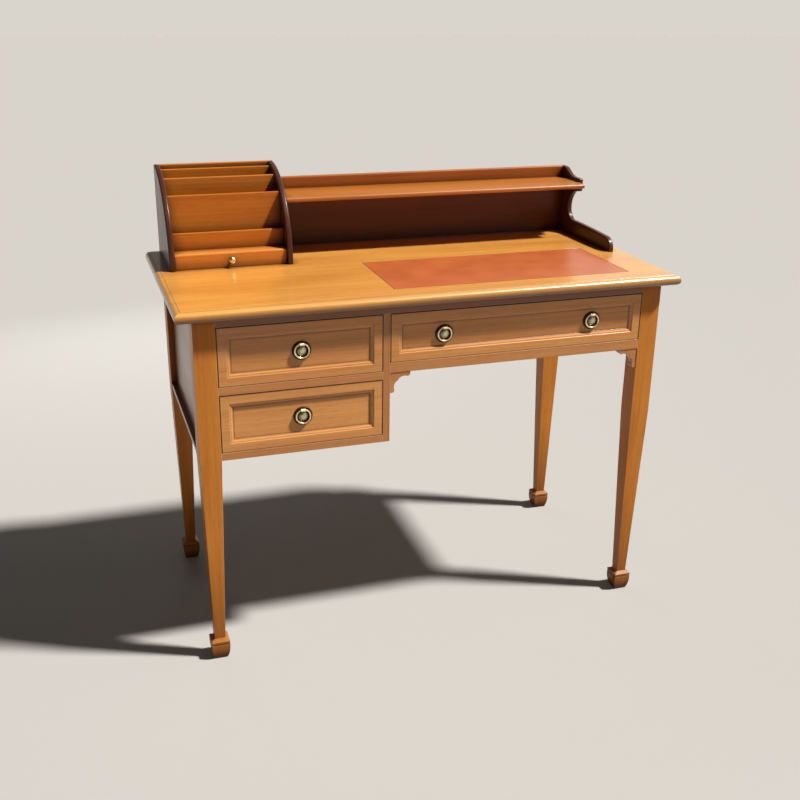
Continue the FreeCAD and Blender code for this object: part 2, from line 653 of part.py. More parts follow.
def dovetailed_side(name, x, z):
    """Drawer side with tails at both ends: lapped at the front, through at the back."""
    front_tip = f"({FRONT} + sizes.front_lap)"
    back_root = f"({DRAWER_END} - sizes.drawer_back_thickness)"
    thickness = "sizes.drawer_side_thickness"
    pitch = f"(({z[1]} - {z[0]}) / sizes.dovetail_count)"
    root = "sizes.dovetail_pin_root / 2"
    tip = "sizes.dovetail_pin_tip / 2"
    body = new_body(f"{name}_blank", x=x)
    pad(body, draw(body, "YZ_Plane", rectangle((DRAWER_INSIDE, back_root), z)), thickness)
    tails = []
    for root_y, tip_y in ((DRAWER_INSIDE, front_tip), (back_root, DRAWER_END)):
        tail = [
            (root_y, f"({z[0]} + {root})"), (tip_y, f"({z[0]} + {tip})"),
            (tip_y, f"({z[0]} + {pitch} - {tip})"), (root_y, f"({z[0]} + {pitch} - {root})"),
        ]
        tails.append(pad(body, draw(body, "YZ_Plane", tail), thickness))
    doc.recompute()
    pattern = body.newObject("PartDesign::LinearPattern", "tails")
    pattern.Originals = tails
    pattern.Direction = (origin_feature(body, "Z_Axis"), [""])
    bind(pattern, Length=f"{pitch} * (sizes.dovetail_count - 1)", Occurrences="sizes.dovetail_count")
    body.Tip = pattern
    return body


def pull(name, x, z):
    """Back-plate with knuckle, stud and nut, and the ring that hangs from it; returns the plate."""
    field = f"({FRONT} + sizes.field_depth)"
    wood = "(sizes.front_thickness - sizes.field_depth)"
    stud_end = f"({wood} + sizes.nut_thickness + sizes.stud_spare)"
    plate_face = minus("sizes.plate_thickness")
    ring_gap = "(sizes.knuckle_width / 2 + sizes.knuckle_side_gap)"
    pivot = f"sqrt(sizes.ring_radius ^ 2 - {ring_gap} ^ 2)"
    standoff = minus("sizes.ring_standoff")
    knuckle = "sizes.knuckle_radius"

    plate = new_body(f"{name}_plate_and_stud", x, field, z)
    rim_rise = "(sizes.plate_thickness - sizes.plate_rim)"
    rim_inner = "(sizes.plate_radius - sizes.plate_round)"
    dome_rise = "(sizes.boss_height - sizes.plate_thickness)"
    turned = draw(plate, "XY_Plane", [
        ("0", stud_end), ("sizes.stud_radius", stud_end), ("sizes.stud_radius", "0"),
        ("sizes.plate_radius", "0"),
        ("sizes.plate_radius", minus("sizes.plate_rim"), rounding("sizes.plate_round", rim_rise), -1),
        (rim_inner, plate_face),
        ("sizes.boss_radius", plate_face, rounding("sizes.boss_radius", dome_rise), -1),
        ("0", minus("sizes.boss_height")),
    ])
    round_form = plate.newObject("PartDesign::Revolution", "turned")
    round_form.Profile = turned
    round_form.ReferenceAxis = (turned, ["V_Axis"])
    round_form.Angle = 360
    seat = minus("sizes.plate_rim / 2")
    low = f"({pivot} - {knuckle})"
    high = f"({pivot} + {knuckle})"
    ear = [
        (seat, low), (seat, high), (standoff, high, knuckle, 1),
        (f"({standoff} - {knuckle})", pivot, knuckle, 1), (standoff, low),
    ]
    pad(plate, draw(plate, "YZ_Plane", ear), "sizes.knuckle_width", symmetric=True)
    bore(plate, draw_circle(plate, "YZ_Plane", standoff, pivot,
                            "(sizes.ring_pin_radius + sizes.ring_pin_clearance)"))

    nut_blank = doc.addObject("Part::Prism", "nut_blank")
    nut_blank.Polygon = 6
    bind(nut_blank, Circumradius="sizes.nut_radius", Height="sizes.nut_thickness")
    nut_blank.Placement.Rotation = FreeCAD.Rotation(FreeCAD.Vector(1, 0, 0), -90)
    place(nut_blank, x, f"({field} + {wood})", z)
    keep(f"{name}_plate", group(f"{name}_fittings", [plate, cut("nut", nut_blank, plate)]))

    ring = new_body(f"{name}_ring_bow", x, f"({field} + {standoff})", z)
    bow = ring.newObject("PartDesign::Revolution", "bow")
    bow.Profile = draw_circle(ring, "YZ_Plane", "0", minus("sizes.ring_radius"), "sizes.ring_wire")
    bow.ReferenceAxis = (origin_feature(ring, "Y_Axis"), [""])
    bow.Midplane = True
    bow.setExpression("Angle", f"360 deg - 2 * asin({ring_gap} / sizes.ring_radius)")
    pad(ring, draw_circle(ring, "YZ_Plane", "0", pivot, "sizes.ring_pin_radius"),
        f"2 * ({ring_gap} + sizes.ring_pin_grip)", symmetric=True)
    keep(f"{name}_ring", ring)
    return plate


def drawer(name, x, z, pulls):
    """Dovetailed drawer in the opening between two places along X and two along Z, with its ring pulls."""
    wall = "sizes.drawer_side_thickness"
    groove = "sizes.drawer_groove"
    left = f"({x[0]} + sizes.drawer_side_gap)"
    right = f"({x[1]} - sizes.drawer_side_gap)"
    low = f"({z[0]} + sizes.drawer_floor_gap)"
    high = f"({z[1]} - sizes.drawer_top_gap)"
    side_high = f"({high} - sizes.drawer_side_drop)"
    bottom_low = f"({low} + sizes.drawer_bottom_rise)"
    bottom_high = f"({bottom_low} + sizes.drawer_bottom_thickness)"

    bottom = board(f"{name}_bottom_board", (f"({left} + {wall} - {groove})", f"({right} - {wall} + {groove})"),
                   (f"({DRAWER_INSIDE} - {groove})", DRAWER_END), (bottom_low, bottom_high))
    keep(f"{name}_bottom", bottom)
    sides = []
    for hand, place_x in (("left", left), ("right", f"({right} - {wall})")):
        side = dovetailed_side(f"{name}_{hand}", place_x, (low, side_high))
        keep(f"{name}_{hand}_side", cut(f"{name}_{hand}_grooved", side, bottom))
        sides.append(side)
    back_y = (f"({DRAWER_END} - sizes.drawer_back_thickness)", DRAWER_END)
    back = board(f"{name}_back_board", (left, right), back_y, (bottom_high, side_high))
    keep(f"{name}_back", cut(f"{name}_back_tailed", back, *sides))
    height = middle(low, high)
    plates = [pull(pull_name, pull_x, height) for pull_name, pull_x in pulls]
    front = panelled_front(name, (left, right), (low, high))
    keep(f"{name}_front", cut(f"{name}_front_tailed", front, *sides, bottom, *plates))


def letter_rack():
    right = f"({STAGE_LEFT} + sizes.rack_width)"
    wall = "sizes.rack_side_thickness"
    housing = "sizes.rack_housing"
    inner_left = f"({STAGE_LEFT} + {wall})"
    inner_right = f"({right} - {wall})"
    housed = (f"({inner_left} - {housing})", f"({inner_right} + {housing})")
    front = f"({STAGE_BACK} - sizes.rack_radius)"
    radius = value("sizes.rack_radius")
    quarter = [
        (STAGE_BACK, SURFACE), (STAGE_BACK, f"({SURFACE} + sizes.rack_radius)", "sizes.rack_radius", 1),
        (front, SURFACE),
    ]

    def on_curve(edge):
        return edge.Curve.TypeId == "Part::GeomCircle" and near(edge.Curve.Radius, radius)

    sides = []
    for x in ((STAGE_LEFT, inner_left), (inner_right, right)):
        side = profiled("rack_side_blank", quarter, x)
        fillet(side, "sizes.rack_side_round", on_curve)
        sides.append(side)

    floor = f"({SURFACE} + sizes.rack_floor_rise)"
    floor_top = f"({floor} + sizes.rack_floor_thickness)"
    back_face = f"({STAGE_BACK} - sizes.rack_back_thickness)"
    drawer_face = f"({front} + sizes.rack_drawer_setback)"
    drawer_inside = f"({drawer_face} + sizes.rack_front_thickness + sizes.rack_drawer_gap)"
    dust_board = profiled("rack_floor", rectangle((drawer_inside, back_face), (floor, floor_top)), housed)
    back = profiled("rack_back_board", rectangle((back_face, STAGE_BACK),
                                                 (SURFACE, f"({SURFACE} + sizes.rack_radius)"),
                                                 "sizes.divider_round", (3,)), housed)
    dividers = []
    for number, role in enumerate(("back", "middle", "front", "low"), start=1):
        place_y = f"sizes.divider_place_{role}"
        face = f"({STAGE_BACK} - {place_y})"
        rise = f"(sqrt(sizes.rack_radius ^ 2 - {place_y} ^ 2) - sizes.divider_set_down)"
        top = f"({SURFACE} + {'sizes.divider_low_height' if role == 'low' else rise})"
        divider = profiled(f"divider_{number}", rectangle((face, f"({face} + sizes.divider_thickness)"),
                                                          (floor_top, top), "sizes.divider_round", (2, 3)),
                           housed)
        dividers.append(keep(f"rack_divider_{number}", divider))
    keep("rack_dust_board", dust_board)
    keep("rack_back", back)
    tools = (back, dust_board, *dividers)
    keep("rack_left_side", cut("rack_left_housed", sides[0], *tools))
    rack_drawer((inner_left, inner_right), (drawer_face, back_face), (floor, floor_top))
    return cut("rack_right_housed", sides[1], *tools)


def rack_drawer(x, y, dust_board):
    """Shallow drawer on the desk top with a turned knob; its front hides the edge of the rack's dust board."""
    gap = "sizes.rack_drawer_gap"
    wall = "sizes.rack_drawer_wall"
    groove = "sizes.rack_drawer_groove"
    left = f"({x[0]} + {gap})"
    right = f"({x[1]} - {gap})"
    low = f"({SURFACE} + sizes.drawer_floor_gap)"
    high = dust_board[1]
    side_high = f"({dust_board[0]} - {gap} - sizes.rack_drawer_wall_drop)"
    face = y[0]
    inside = f"({face} + sizes.rack_front_thickness)"
    end = f"({y[1]} - sizes.rack_drawer_back_gap)"
    bottom_low = f"({low} + sizes.rack_drawer_bottom_rise)"
    bottom_high = f"({bottom_low} + sizes.rack_drawer_bottom_thickness)"

    bottom = board("rack_bottom_board", (f"({left} + {wall} - {groove})", f"({right} - {wall} + {groove})"),
                   (f"({inside} - {groove})", end), (bottom_low, bottom_high))
    keep("rack_drawer_bottom", bottom)
    back = board("rack_back_strip", (f"({left} + {wall} - {groove})", f"({right} - {wall} + {groove})"),
                 (f"({end} - {wall})", end), (bottom_high, side_high))
    keep("rack_drawer_back", back)
    sides = []
    for hand, side_x in (("left", (left, f"({left} + {wall})")), ("right", (f"({right} - {wall})", right))):
        blank = board(f"rack_{hand}_strip", side_x, (f"({inside} - {groove})", end), (low, side_high))
        side = cut(f"rack_{hand}_grooved", blank, bottom, back)
        sides.append(keep(f"rack_drawer_{hand}_side", side))

    knob = new_body("turned_knob", middle(left, right), face, middle(low, high))
    head = "sizes.knob_radius"
    reach = "sizes.knob_reach"
    turned = draw(knob, "XY_Plane", [
        ("0", "sizes.knob_tenon_length"), ("sizes.knob_neck", "sizes.knob_tenon_length"),
        ("sizes.knob_neck", f"({head} - {reach})", f"({head} - sizes.knob_neck)", -1),
        (head, minus(f"({reach} - sizes.knob_neck)"), f"sizes.knob_crown * {head}", -1),
        ("sizes.knob_dimple", minus(reach), rounding("sizes.knob_dimple", "sizes.knob_dimple_depth"), 1),
        ("0", f"(sizes.knob_dimple_depth - {reach})"),
    ])
    round_form = knob.newObject("PartDesign::Revolution", "turned")
    round_form.Profile = turned
    round_form.ReferenceAxis = (turned, ["V_Axis"])
    round_form.Angle = 360
    keep("rack_drawer_knob", knob)

    front = profiled("rack_front_board", rectangle((face, inside), (low, high), "sizes.rack_front_round", (3,)),
                     (left, right))
    keep("rack_drawer_front", cut("rack_front_housed", front, *sides, bottom, knob))


def scrolled_side(x):
    """Gallery side: an ear, a nose at the shelf, a hollow under it and a low arm with a rounded front."""
    lip = "(sizes.shelf_height + sizes.nose_lip)"
    nose = f"({STAGE_BACK} - sizes.nose_place)"
    ear_start = f"({STAGE_BACK} - sizes.ear_flat)"
    soft = "sizes.nose_round"
    ear_rise = f"(sizes.gallery_height - {lip})"
    ear_total = rounding("sizes.ear_run", ear_rise)
    ear_joint = (f"({ear_start} - sizes.ear_round * sizes.ear_run / {ear_total})",
                 f"(sizes.gallery_height - sizes.ear_round * {ear_rise} / {ear_total})")
    nose_low = "(sizes.shelf_height - sizes.shelf_thickness - sizes.nose_drop)"
    deepest = f"({nose} + {soft} + sizes.scoop_radius)"
    turn_height = f"({nose_low} - sizes.scoop_radius)"
    sweep = "sizes.sweep_radius"
    arm_back = f"({turn_height} - {sweep})"
    arm_start = f"({deepest} - {sweep})"
    arm_front = f"({STAGE_BACK} - sizes.arm_length)"
    toe_fall = f"({arm_back} - sizes.arm_toe_height)"
    toe = f"({toe_fall} - sizes.arm_fall)"
    toe_run = f"({arm_start} - {arm_front} - {toe})"
    brow = f"(({toe_run} ^ 2 + {toe_fall} ^ 2 - {toe} ^ 2) / (2 * sizes.arm_fall))"
    toe_share = f"({toe} / ({brow} - {toe}))"
    toe_joint = (f"({arm_front} + {toe} - {toe_run} * {toe_share})",
                 f"(sizes.arm_toe_height + ({brow} - {toe_fall}) * {toe_share})")
    outline = [
        (STAGE_BACK, "0"), (STAGE_BACK, "sizes.gallery_height"),
        (ear_start, "sizes.gallery_height", "sizes.ear_round", 1),
        (*ear_joint, f"({ear_total} - sizes.ear_round)", -1),
        (f"({ear_start} - sizes.ear_run)", lip),
        (f"({nose} + {soft})", lip, soft, 1),
        (nose, f"({lip} - {soft})"), (nose, f"({nose_low} + {soft})", soft, 1),
        (f"({nose} + {soft})", nose_low, "sizes.scoop_radius", -1),
        (deepest, turn_height, sweep, -1),
        (arm_start, arm_back, brow, 1),
        (*toe_joint, toe, 1),
        (arm_front, "sizes.arm_toe_height"), (arm_front, "0"),
    ]
    raised = [(corner[0], f"({SURFACE} + {corner[1]})", *corner[2:]) for corner in outline]
    return profiled("gallery_side_blank", raised, x), nose


def gallery(rack_right_side):
    left = f"({STAGE_LEFT} + sizes.rack_width)"
    thickness = "sizes.gallery_board"
    inner_right = f"({STAGE_RIGHT} - {thickness})"
    housing = "sizes.shelf_housing"
    back_face = f"({STAGE_BACK} - {thickness})"
    top = f"({SURFACE} + sizes.gallery_height)"
    shelf_top = f"({SURFACE} + sizes.shelf_height)"
    shelf_z = (f"({shelf_top} - sizes.shelf_thickness)", shelf_top)
    shelf_front = f"({back_face} - sizes.shelf_depth)"

    back = profiled("gallery_back_board", rectangle((back_face, STAGE_BACK), (SURFACE, top),
                                                    "sizes.gallery_round", (2, 3)),
                    (f"({left} - {housing})", f"({inner_right} + {housing})"))
    keep("gallery_back", back)
    side, nose = scrolled_side((inner_right, STAGE_RIGHT))

    def on_front(edge):
        box = edge.BoundBox
        along = near(box.XMin, box.XMax)
        rear = near(box.YMin, value(STAGE_BACK))
        return along and not rear and not near(box.ZMax, value(SURFACE))

    fillet(side, "sizes.gallery_round", on_front)
    length = board("shelf_tongues", (f"({left} - {housing})", f"({inner_right} + {housing})"),
                   (f"({nose} + sizes.shelf_stop)", back_face), shelf_z)
    shelf = profiled("shelf_board", rectangle((shelf_front, back_face), shelf_z, "sizes.shelf_round", (0, 3)),
                     (left, inner_right))
    keep("gallery_shelf", joined("shelf", shelf, length))
    keep("gallery_right_side", cut("gallery_side_housed", side, back, length))
    keep("rack_right_side", cut("rack_right_joined", rack_right_side, back, length))


desk_top()
carcase()
drawer_ways()
pedestal_middle = middle(*PEDESTAL_X)
kneehole_middle = middle(*KNEEHOLE_X)
drawer("upper_drawer", PEDESTAL_X, (UPPER_FLOOR, OPENING_TOP), [("upper_pull", pedestal_middle)])
drawer("lower_drawer", PEDESTAL_X, (LOWER_FLOOR, LOWER_TOP), [("lower_pull", pedestal_middle)])
drawer("wide_drawer", KNEEHOLE_X, (WIDE_FLOOR, OPENING_TOP),
       [("wide_left_pull", f"({kneehole_middle} - sizes.pull_spacing / 2)"),
        ("wide_right_pull", f"({kneehole_middle} + sizes.pull_spacing / 2)")])
gallery(letter_rack())
doc.recompute()

faults = [thing.Label for thing in doc.Objects if "Invalid" in thing.State or "Error" in thing.State]
for label, thing in pieces.items():
    if thing.Shape.isNull() or not thing.Shape.isValid():
        faults.append(label)
if faults:
    raise RuntimeError("these did not build: " + ", ".join(faults))

os.makedirs("parts", exist_ok=True)
for label, thing in pieces.items():
    thing.Shape.exportStep(f"parts/{label}.step")
print(len(pieces), "pieces written")
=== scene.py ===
import math

import bpy
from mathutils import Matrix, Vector


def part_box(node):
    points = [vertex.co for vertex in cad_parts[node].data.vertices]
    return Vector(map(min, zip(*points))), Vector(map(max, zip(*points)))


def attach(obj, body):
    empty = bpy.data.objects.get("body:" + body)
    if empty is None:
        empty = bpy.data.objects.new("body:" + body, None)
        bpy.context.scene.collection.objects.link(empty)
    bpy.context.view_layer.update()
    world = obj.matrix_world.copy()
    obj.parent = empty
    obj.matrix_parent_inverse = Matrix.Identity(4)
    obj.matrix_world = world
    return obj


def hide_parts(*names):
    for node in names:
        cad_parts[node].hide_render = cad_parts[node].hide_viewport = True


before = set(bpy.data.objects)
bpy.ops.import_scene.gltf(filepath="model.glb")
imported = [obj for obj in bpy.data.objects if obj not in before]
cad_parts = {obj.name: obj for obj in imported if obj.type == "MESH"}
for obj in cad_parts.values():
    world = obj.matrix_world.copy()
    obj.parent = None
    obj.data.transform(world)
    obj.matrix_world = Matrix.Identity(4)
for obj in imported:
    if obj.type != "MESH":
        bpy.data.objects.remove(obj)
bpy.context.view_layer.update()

MM = 0.001

# Cherry by finish: its pieces, pale and deep tone, axis of the grain, weight of the polish film, and gloss
CHERRY = {
    "top": (("desk_top",), "#EFAC50", "#D88E3C", "X", 0.9, 0.5),
    "legs": (("front_left_leg", "front_right_leg", "back_left_leg", "back_right_leg"),
             "#E69440", "#CE7C32", "Z", 0.05, 0.2),
    # The rail under the top's overhang has a darker copy of the cherry, as painted shade
    "shaded_top_rail": (("top_front_rail",), "#A86A42", "#925632", "X", 0.4, 0.5),
    "rails": (("drawer_divider_rail", "pedestal_bottom_rail", "kneehole_rail", "pedestal_back_panel",
               "kneehole_back_apron", "left_kneehole_bracket", "right_kneehole_bracket"),
              "#DC9656", "#C88042", "X", 0.4, 0.5),
    "partition": (("pedestal_partition",), "#D68E4E", "#C07A3C", "Z", 0.4, 0.5),
    "sides": (("left_side_panel", "right_side_apron"), "#A8622C", "#8E4E20", "Y", 0.3, 0.5),
    "upper_drawer_front": (("upper_drawer_front",), "#EEA65C", "#D88E48", "X", 0.4, 0.5),
    "lower_drawer_front": (("lower_drawer_front",), "#EEA65C", "#D88E48", "X", 0.4, 0.5),
    "wide_drawer_front": (("wide_drawer_front",), "#EEA65C", "#D88E48", "X", 0.4, 0.5),
    "rack_boards": (("rack_back", "rack_divider_1", "rack_divider_2", "rack_divider_3", "rack_divider_4"),
                    "#CC7826", "#B06018", "X", 0.1, 0.25),
    "rack_drawer": (("rack_dust_board", "rack_drawer_front"), "#DC8C3C", "#C8762C", "X", 0.1, 0.25),
    "gallery": (("gallery_back",), "#B8682C", "#9C5420", "X", 0.1, 0.25),
    "shelf": (("gallery_shelf",), "#C0742A", "#AA621E", "X", 0.3, 0.4),
    # These sides are darker cherry, made darker still as painted shade of their shaded faces
    "rack_sides": (("rack_left_side", "rack_right_side", "gallery_right_side"),
                   "#522A1A", "#3C1E12", "Z", 0.15, 0.25),
}
# Tones that all the cherry shares: pores, a paler tone on arrises for polish wear and as a painted highlight,
# and painted shade in quirks, along joints and under overhangs
PORES = "#5A2A10"
ARRIS_WEAR_AND_HIGHLIGHT = "#F4D2A8"
PAINTED_SHADE = "#2E1408"
# How far arrises are eased, and how far from a joint or an overhang the painted shade reaches
EASED_ARRIS = 1.6 * MM
SHADE_REACH = 30 * MM

# Drawer fronts: how far in from the outer edge the sunk field begins, and how deep it lies
FIELD_INSET = 25.3 * MM
FIELD_DEPTH = 5 * MM

# Linings of the drawers and the strips they run on, by the way their grain goes
DRAWERS = ("upper_drawer", "lower_drawer", "wide_drawer", "rack_drawer")
LININGS_ALONG = tuple(f"{drawer}_{hand}_side" for drawer in DRAWERS for hand in ("left", "right")) + (
    "drawer_runners", "guides_and_stops", "kicker_rails")
LININGS_ACROSS = tuple(f"{drawer}_{board}" for drawer in DRAWERS for board in ("back", "bottom"))

# Pulls: the domed boss, and how far the knuckle, which is the foremost part, stands out from the plate
PULLS = ("upper_pull", "lower_pull", "wide_left_pull", "wide_right_pull")
BOSS_RADIUS = 11 * MM
KNUCKLE_STANDS = 5.6 * MM

# Leather: its gap to the wood round it, the width and depth of its pressed border, and its eased edge
LEATHER_GAP = 0.4 * MM
PRESSED_BORDER = 3 * MM
PRESSED_DEPTH = 0.05 * MM
LEATHER_EDGE = 0.3 * MM

# Studio, in metres, watts and degrees: a high lamp from the right, fills, a pale rim, and the fitted camera
KEY_PLACE = (2.12, -0.95, 3.24)
KEY_ENERGY = 5.6
KEY_WIDTH = 5
KEY_TINT = (1.0, 0.97, 0.93)
FILLS = (("front_fill", (0.1, -1.7, 0.25), 1.3), ("back_fill", (-0.4, 2.4, 0.9), 7))
FILL_SIZE = (1.4, 0.4)
DESK_MIDDLE = (0, 0, 0.5)
FLOOR_SIZE = 60
PALE_RIM = "#DAD5CC"
CAMERA_PLACE = (-0.7182, -2.1150, 1.3110)
CAMERA_TURN = (68.7807, -0.7244, -18.2840)
CAMERA_LENS = 47.571
CAMERA_SENSOR = 36


def linear(code):
    """Linear colour, with full alpha, of an sRGB hex code."""
    shares = [int(code[start:start + 2], 16) / 255 for start in (1, 3, 5)]
    return [share / 12.92 if share <= 0.04045 else ((share + 0.055) / 1.055) ** 2.4 for share in shares] + [1]


def add(tree, kind, inputs, **settings):
    """Add a node, set its properties, and fill each named input with a number, a colour or a link."""
    node = tree.nodes.new(kind)
    for name, setting in settings.items():
        setattr(node, name, setting)
    for name, content in inputs.items():
        if isinstance(content, bpy.types.NodeSocket):
            tree.links.new(content, node.inputs[name])
        else:
            node.inputs[name].default_value = content
    return node


def new_material(name):
    material = bpy.data.materials.new(name)
    material.use_nodes = True
    material.node_tree.nodes.clear()
    return material, material.node_tree


def repeats(grain, length, width):
    """Repeats per metre of a mark of this length along the grain and width across it, in millimetres."""
    return [1000 / (length if axis == grain else width) for axis in "XYZ"]


def to_border(tree, place, low, high, across, up):
    """Distance from the nearest side of a box, measured along two of its axes, for points inside it."""
    from_middle = add(tree, "ShaderNodeMapping", {"Vector": place, "Location": -(low + high) / 2})
    reach = add(tree, "ShaderNodeVectorMath", {0: from_middle.outputs["Vector"]}, operation="ABSOLUTE")
    inward = add(tree, "ShaderNodeVectorMath", {0: (high - low) / 2, 1: reach.outputs["Vector"]},
                 operation="SUBTRACT")
    sides = add(tree, "ShaderNodeSeparateXYZ", {"Vector": inward.outputs["Vector"]})
    nearest = add(tree, "ShaderNodeMath", {0: sides.outputs[across], 1: sides.outputs[up]},
                  operation="MINIMUM")
    return nearest.outputs["Value"]


def dark_lines(low, high):
    """Mark on a drawer front, in the box given: a dark joint line with painted shadow along its outer arris,
    and painted shade round its field's rim.
    """
    def mark(tree, place):
        inset = to_border(tree, place, low, high, "X", "Z")
        # The dark line on the arris fades out 1.6 mm in from it, and the painted shade on the rim 2.6 mm to
        # either side
        arris = add(tree, "ShaderNodeMapRange", {"Value": inset, "From Min": 1.6 * MM, "From Max": 0.8 * MM,
                                                 "To Max": 0.8})
        from_rim = add(tree, "ShaderNodeMath", {0: inset, 1: FIELD_INSET}, operation="SUBTRACT")
        off_rim = add(tree, "ShaderNodeMath", {0: from_rim.outputs["Value"]}, operation="ABSOLUTE")
        rim = add(tree, "ShaderNodeMapRange", {"Value": off_rim.outputs["Value"], "From Min": 2.6 * MM,
                                               "From Max": 0.4 * MM, "To Max": 0.6})
        # The arris is on the face of the front, and the rim of the field goes as deep as the field
        sides = add(tree, "ShaderNodeSeparateXYZ", {"Vector": place})
        lines = []
        for line, depth in ((arris, 1 * MM), (rim, FIELD_DEPTH + 0.5 * MM)):
            in_front = add(tree, "ShaderNodeMath", {0: sides.outputs["Y"], 1: low.y + depth},
                           operation="LESS_THAN")
            kept = add(tree, "ShaderNodeMath", {0: line.outputs["Result"], 1: in_front.outputs["Value"]},
                       operation="MULTIPLY")
            lines.append(kept.outputs["Value"])
        either = add(tree, "ShaderNodeMath", {0: lines[0], 1: lines[1]}, operation="MAXIMUM")
        return either.outputs["Value"]
    return mark


def dark_down(start, end, most):
    """Mark that darkens from one height down to another, to a greatest share."""
    def mark(tree, place):
        sides = add(tree, "ShaderNodeSeparateXYZ", {"Vector": place})
        depth = add(tree, "ShaderNodeMapRange", {"Value": sides.outputs["Z"], "From Min": start,
                                                 "From Max": end, "To Max": most})
        return depth.outputs["Result"]
    return mark


def shelf_shadow(shelf_low, shelf_high):
    """Mark on the board behind a shelf, in the box given: the shelf's shadow, painted darker on the board's
    front below the shelf.
    """
    def mark(tree, place):
        sides = add(tree, "ShaderNodeSeparateXYZ", {"Vector": place})
        in_front = add(tree, "ShaderNodeMath", {0: sides.outputs["Y"], 1: shelf_high.y + 1 * MM},
                       operation="LESS_THAN")
        both = add(tree, "ShaderNodeMath", {0: dark_down(shelf_high.z, shelf_low.z, 0.72)(tree, place),
                                            1: in_front.outputs["Value"]}, operation="MULTIPLY")
        return both.outputs["Value"]
    return mark


def polished_cherry(name, pale, deep, grain, film, gloss, mark):
    """Cherry under French polish: streaky grain, a film, painted shade in quirks, along joints and under
    overhangs, and arrises paler for polish wear and as a painted highlight.
    """
    material, tree = new_material(name)
    place = add(tree, "ShaderNodeTexCoord", {}).outputs["Object"]
    layers = {}
    # Growth rings are drawn 5 mm wide, and pores, 0.1 mm wide in the wood, ten times wider so that they show
    for layer, length, width, detail in (("figure", 420, 60, 2), ("ring", 380, 5, 3), ("pore", 30, 1, 1)):
        spread = add(tree, "ShaderNodeMapping", {"Vector": place, "Scale": repeats(grain, length, width)})
        noise = add(tree, "ShaderNodeTexNoise", {"Vector": spread.outputs["Vector"], "Scale": 1,
                                                 "Detail": detail, "Distortion": 0.3})
        layers[layer] = noise.outputs["Fac"]
    both = add(tree, "ShaderNodeMath", {0: layers["figure"], 1: layers["ring"]}, operation="ADD")
    tone = add(tree, "ShaderNodeMapRange", {"Value": both.outputs["Value"], "From Min": 0.7,
                                            "From Max": 1.3})
    wood = add(tree, "ShaderNodeMix", {0: tone.outputs["Result"], 6: linear(deep), 7: linear(pale)},
               data_type="RGBA")
    pores = add(tree, "ShaderNodeMapRange", {"Value": layers["pore"], "From Min": 0.56, "From Max": 0.76,
                                             "To Max": 0.3})
    pored = add(tree, "ShaderNodeMix", {0: pores.outputs["Result"], 6: wood.outputs[2],
                                        7: linear(PORES)}, data_type="RGBA")

    # Arrises are eased, and their colour is made paler, for polish wear and as a painted highlight
    eased = add(tree, "ShaderNodeBevel", {"Radius": EASED_ARRIS}, samples=6)
    flat = add(tree, "ShaderNodeNewGeometry", {})
    turn = add(tree, "ShaderNodeVectorMath", {0: eased.outputs["Normal"], 1: flat.outputs["Normal"]},
               operation="DOT_PRODUCT")
    arris_paling = add(tree, "ShaderNodeMapRange", {"Value": turn.outputs["Value"], "From Min": 0.99,
                                              "From Max": 0.8, "To Max": 0.8})
    arris_paled = add(tree, "ShaderNodeMix", {0: arris_paling.outputs["Result"], 6: pored.outputs[2],
                                       7: linear(ARRIS_WEAR_AND_HIGHLIGHT)}, data_type="RGBA")

    # Painted shade: darker in quirks, along joints and under overhangs
    open_share = add(tree, "ShaderNodeAmbientOcclusion", {"Distance": SHADE_REACH}, samples=8)
    hollow_shade = add(tree, "ShaderNodeMapRange", {"Value": open_share.outputs["AO"], "From Min": 0.9,
                                              "From Max": 0.35, "To Max": 0.85})
    shaded_wood = add(tree, "ShaderNodeMix", {0: hollow_shade.outputs["Result"], 6: arris_paled.outputs[2],
                                       7: linear(PAINTED_SHADE)}, data_type="RGBA")
    if mark:
        shaded_wood = add(tree, "ShaderNodeMix", {0: mark(tree, place), 6: shaded_wood.outputs[2],
                                           7: linear(PAINTED_SHADE)}, data_type="RGBA")
    relief = add(tree, "ShaderNodeBump", {"Strength": 0.15, "Distance": 0.1 * MM, "Height": layers["pore"],
                                          "Normal": eased.outputs["Normal"]}, invert=True)
    polish = add(tree, "ShaderNodeMapRange", {"Value": layers["figure"], "From Min": 0.3, "From Max": 0.7,
                                              "To Min": 0.3, "To Max": 0.42})
    shader = add(tree, "ShaderNodeBsdfPrincipled", {
        "Base Color": shaded_wood.outputs[2], "Roughness": polish.outputs["Result"], "IOR": 1.45,
        "Specular IOR Level": gloss, "Normal": relief.outputs["Normal"], "Coat Weight": film,
        "Coat Roughness": 0.18, "Coat Normal": eased.outputs["Normal"]})
    add(tree, "ShaderNodeOutputMaterial", {"Surface": shader.outputs["BSDF"]})
    return material


